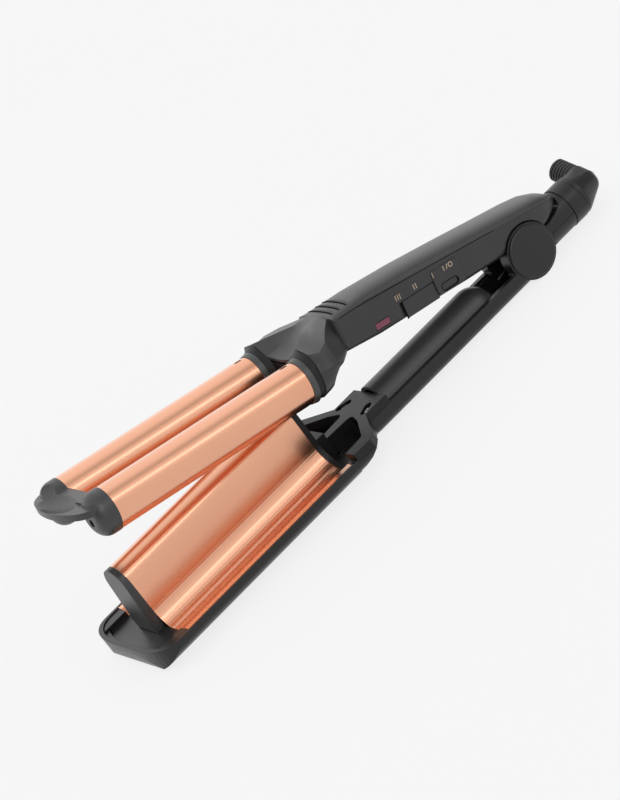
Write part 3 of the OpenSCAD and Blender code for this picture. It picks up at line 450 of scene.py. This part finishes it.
def layBead(name, path, thick, look, closed=False):
    # a round bead of that half thickness, in millimetres, along the points; it moves with the upper arm
    verts, faces = [], []
    count, sides = len(path), beading["sides"]
    for i, spot in enumerate(path):
        before = path[i - 1] if i or closed else spot
        after = path[(i + 1) % count] if i + 1 < count or closed else spot
        way = (after - before).normalized()
        first = way.cross(beading["aside"]).normalized()
        second = way.cross(first)
        for k in range(sides):
            turn = 2 * math.pi * k / sides
            verts.append(spot + (first * math.cos(turn) + second * math.sin(turn)) * thick / 1000)
    for i in range(count if closed else count - 1):
        here, there = i * sides, (i + 1) % count * sides
        for k in range(sides):
            n = (k + 1) % sides
            faces.append((here + k, here + n, there + n, there + k))
    if not closed:
        faces.append(tuple(range(sides)))
        faces.append(tuple(range((count - 1) * sides, count * sides))[::-1])
    mesh = bpy.data.meshes.new(name)
    mesh.from_pydata(verts, [], faces)
    mesh.materials.append(look)
    for face in mesh.polygons:
        face.use_smooth = True
    bead = bpy.data.objects.new(name, mesh)
    bpy.context.scene.collection.objects.link(bead)
    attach(bead, "upper_arm")


# line where the two upper shells meet, up to the manifold; thick in millimetres, the rest in metres
parting = {"thick": 0.19, "match": 0.00008, "offCentre": 0.005, "end": 0.121}


def layPartings(look):
    def key(spot):
        return tuple(round(v / parting["match"]) for v in spot)

    # the shells share their edge points along the parting
    lower = {key(spot) for spot in meshSpots("upper_bottom_shell")}
    along = (onArm(1, 0, 0) - onArm(0, 0, 0)).normalized()
    shared = {}
    for spot in meshSpots("upper_top_shell"):
        if (spot - arm["hinge"]).dot(along) > parting["end"]:
            continue
        if key(spot) in lower and abs(spot.y) > parting["offCentre"]:
            station = (spot.y > 0, round(spot.x, 4))
            if station not in shared or abs(spot.y) > abs(shared[station].y):
                shared[station] = spot
    for near, name in ((True, "partingNear"), (False, "partingFar")):
        path = [shared[station] for station in sorted(shared) if station[0] == near]
        print(name, "runs over", len(path), "points")
        if len(path) > 2:
            layBead(name, path, parting["thick"], look)


# dark beads around the controls on the panel side, in millimetres along the upper arm: painted shadow along
# the top and front end of the slider's recess, dark gaps around the button and window
panel = {
    "side": 15.0, "pad": 15.52, "thick": 0.20, "thickEnd": 0.42, "arcPoints": 13,
    "slider": {"low": 5.5, "high": 15.3, "rear": 61.0, "front": 83.1},
    "button": {"x": 52.5, "z": 9.6, "half": 3.5, "round": 2.15},
    "lamp": {"x": 98.0, "z": 11.0, "halfLong": 4.5, "halfHigh": 1.8},
}


def layPanel(look):
    side, slider, button, lamp = (panel[k] for k in ("side", "slider", "button", "lamp"))
    rear, corner, low = [onArm(slider[x], side, slider[z])
                         for x, z in (("rear", "high"), ("front", "high"), ("front", "low"))]
    # painted shadow along the top edge and the front end of the slider recess
    layBead("sliderTopLine", [rear, corner], panel["thick"], look)
    layBead("sliderEndLine", [corner, low], panel["thickEnd"], look)
    oval = []
    for sign, start in ((1, -90), (-1, 90)):
        for k in range(panel["arcPoints"]):
            turn = math.radians(start + 180 * k / (panel["arcPoints"] - 1))
            x = button["x"] + sign * button["half"] + button["round"] * math.cos(turn)
            oval.append(onArm(x, panel["pad"], button["z"] + button["round"] * math.sin(turn)))
    layBead("buttonRing", oval, panel["thick"], look, closed=True)
    corners = [onArm(lamp["x"] + i * lamp["halfLong"], side, lamp["z"] + k * lamp["halfHigh"])
               for i, k in square]
    layBead("windowRing", corners, panel["thick"], look, closed=True)


# painted shadow: dark beads along the front feet of the three ridges on the top shell, in millimetres along
# the upper arm
ridges = {"at": (119.7, 115.0, 110.2), "front": 1.3, "half": 12.0, "steps": 20, "thick": 0.42, "dropFrom": 60}


def layRidgeShadows(look):
    # every point is dropped on the shell from above
    faces = [tuple(f.vertices) for f in frame["nodes"]["upper_top_shell"].data.polygons]
    skin = BVHTree.FromPolygons(meshSpots("upper_top_shell"), faces)
    down = (onArm(0, 0, -1) - onArm(0, 0, 0)).normalized()
    for i, x in enumerate(ridges["at"]):
        path = []
        for k in range(ridges["steps"] + 1):
            y = ridges["half"] * (2 * k / ridges["steps"] - 1)
            hit = skin.ray_cast(onArm(x + ridges["front"], y, ridges["dropFrom"]), down)[0]
            if hit:
                path.append(hit)
        layBead("ridgeShadow_%d" % (i + 1), path, ridges["thick"], look)


# dark beads: real joint lines at the partings and around the button and window, painted shadow at the ridge
# feet and the slider recess
jointAndShadowDark = seamShadow()
layPartings(jointAndShadowDark)
layPanel(jointAndShadowDark)
layRidgeShadows(jointAndShadowDark)
print("joint lines laid")

# the lens stands a little above the waver, on its control side
shot = {
    "spot": (0.5376, 1.343, 0.6246), "lens": 135.0, "sensor": 36.0, "nearest": 0.05, "farthest": 60,
    "right": (-0.671, 0.4966, -0.551), "up": (-0.664, -0.072, 0.744), "back": (0.330, 0.865, 0.378),
}


def placeCamera():
    lens = bpy.data.cameras.new("shotLens")
    lens.lens, lens.sensor_width = shot["lens"], shot["sensor"]
    lens.clip_start, lens.clip_end = shot["nearest"], shot["farthest"]
    camera = bpy.data.objects.new("shotCamera", lens)
    bpy.context.scene.collection.objects.link(camera)
    axes = [Vector(shot[k]).normalized() for k in ("right", "up", "back")]
    camera.matrix_world = Matrix.Translation(shot["spot"]) @ Matrix(axes).transposed().to_4x4()
    bpy.context.scene.camera = camera


placeCamera()

# pale table: its glow is what the lens and shiny parts see, the rest keeps the shadow
tableTop = {"tone": (0.60, 0.60, 0.60), "worn": (0.56, 0.56, 0.56), "cloud": 0.3, "half": 9.0, "drop": 0.0003,
            "glow": 1.01, "glowShare": 0.8}


def layTable():
    made, net = newFinish("paleTable")
    faint = net.noise(net.spot(), tableTop["cloud"])
    matt = net.node("ShaderNodeBsdfDiffuse",
                    values={"Color": net.blend(faint, tableTop["tone"], tableTop["worn"])})
    glow = net.node("ShaderNodeEmission", values={"Color": (1, 1, 1), "Strength": tableTop["glow"]})
    lensRay, glossyRay, throughRay = [net.node("ShaderNodeLightPath", out=i) for i in (0, 3, 6)]
    seen = net.node("ShaderNodeMath", {"operation": "MAXIMUM"}, {0: lensRay, 1: glossyRay})
    seen = net.node("ShaderNodeMath", {"operation": "MAXIMUM"}, {0: seen, 1: throughRay})
    mixed = net.node("ShaderNodeMixShader", values={0: seen * tableTop["glowShare"], 1: matt, 2: glow})
    net.node("ShaderNodeOutputMaterial", values={0: mixed})
    mesh = bpy.data.meshes.new("table")
    half = tableTop["half"]
    mesh.from_pydata([(i * half, k * half, 0) for i, k in square], [], [(0, 1, 2, 3)])
    mesh.materials.append(made)
    table = bpy.data.objects.new("table", mesh)
    table.location.z = -tableTop["drop"]
    bpy.context.scene.collection.objects.link(table)


# even studio sky: the stops run from the control side over the top to the far side, the ends are dim
sky = {
    "top": 2.8, "stops": [
        (0.0, 0.9), (0.17, 1.0), (0.185, 1.0), (0.195, 2.8), (0.225, 2.8), (0.235, 1.0), (0.33, 0.95),
        (0.365, 0.62), (0.41, 0.62), (0.50, 1.0), (0.58, 1.15), (1.0, 1.15)],
    "ends": 0.30, "endsFrom": 0.55, "endsTo": 0.95,
    "keyFrom": (0.25, 0.62, 0.74), "keySpread": math.radians(40), "keyPower": 0.35,
}


def hangSky():
    world = bpy.data.worlds.new("studioSky")
    world.use_nodes = True
    bpy.context.scene.world = world
    net = Net(world.node_tree)
    way = net.node("ShaderNodeTexCoord")
    dx, dy, dz = [net.node("ShaderNodeSeparateXYZ", values={0: way}, out=i) for i in range(3)]
    turn = net.node("ShaderNodeMath", {"operation": "ARCTAN2"}, {0: dz, 1: dy}) / math.pi
    stops = [(place, level / sky["top"]) for place, level in sky["stops"]]     # a ramp holds 0 to 1
    arch = net.node("ShaderNodeValToRGB", {"stops": stops}, {0: turn})
    level = net.node("ShaderNodeRGBToBW", values={0: arch}) * sky["top"]
    ends = net.ease(abs(dx), sky["endsFrom"], sky["endsTo"])
    level = level * (1 - ends) + ends * sky["ends"]
    shade = net.node("ShaderNodeBackground", values={"Color": (1, 1, 1), "Strength": level})
    net.node("ShaderNodeOutputWorld", values={0: shade})

    lamp = bpy.data.lights.new("keyLight", "SUN")
    lamp.energy, lamp.angle = sky["keyPower"], sky["keySpread"]
    holder = bpy.data.objects.new("keyLight", lamp)
    holder.rotation_euler = Vector(sky["keyFrom"]).to_track_quat("Z", "Y").to_euler()
    bpy.context.scene.collection.objects.link(holder)


layTable()
hangSky()
bpy.context.scene.view_settings.view_transform = "Standard"
print("camera, table and light placed")
